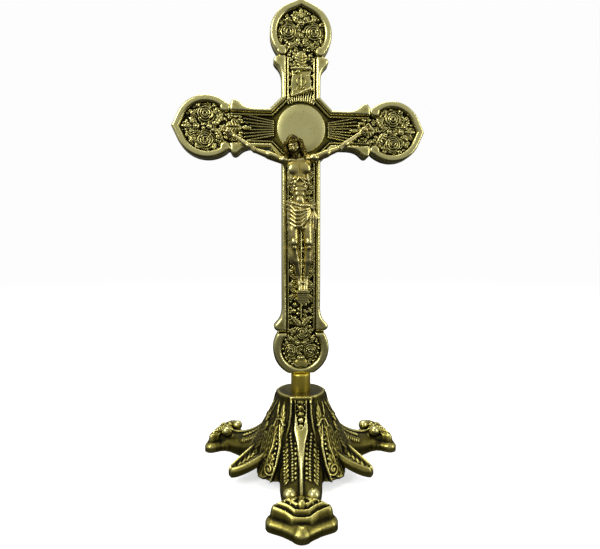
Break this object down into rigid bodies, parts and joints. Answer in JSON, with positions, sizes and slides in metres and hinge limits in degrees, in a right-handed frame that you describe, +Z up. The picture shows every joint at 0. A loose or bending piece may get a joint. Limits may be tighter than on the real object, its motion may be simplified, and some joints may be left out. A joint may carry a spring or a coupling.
{
  "type": "altar cross",
  "caption": "Free-standing altar cross: a cast cross with an applied figure, clamped through a collar to a three-legged cast base.",
  "frame": {"origin": "at table level, in the middle of the space the part takes up; the stem axis is 17 mm behind it", "axes": "+Z up along the stem, -Y the front, towards the front toe, and +X to the viewer's right; the cross stands turned by 5 degrees on its base"},
  "size_m": [0.189, 0.1485, 0.35],
  "materials": {
    "base_casting": "antique cast brass, dark in the hollows",
    "stem_collar": "polished turned brass",
    "stem_rod": "plain threaded brass",
    "clamp_washer": "plain stamped brass",
    "spring_washer": "plain spring steel",
    "clamp_nut": "zinc plated steel",
    "cross_casting": "antique cast brass with a polished border and dark hollows",
    "nimbus_disc": "satin brushed brass",
    "title_scroll": "satin cast brass",
    "corpus": "polished golden cast brass, dark in the folds",
    "foot_rest": "satin brass",
    "hand_nails": "polished brass",
    "foot_nail": "polished brass"
  },
  "bodies": {
    "base": {"base_casting": "base_casting"},
    "cross": {"stem_collar": "stem_collar", "stem_rod": "stem_rod", "clamp_washer": "clamp_washer", "spring_washer": "spring_washer", "cross_casting": "cross_casting", "nimbus_disc": "nimbus_disc", "title_scroll": "title_scroll", "corpus": "corpus", "foot_rest": "foot_rest", "hand_nails": "hand_nails", "foot_nail": "foot_nail"},
    "nut": {"clamp_nut": "clamp_nut"}
  },
  "joints": [
    {"name": "cross_swivel", "type": "hinge", "parent": "base", "child": "cross", "pos_m": [0, 0.01696, 0.058], "axis": [0, 0, 1], "continuous": true},
    {"name": "nut_turn", "type": "hinge", "parent": "cross", "child": "nut", "pos_m": [0, 0.01696, 0.0472], "axis": [0, 0, -1], "range_deg": [0, 360]}
  ]
}
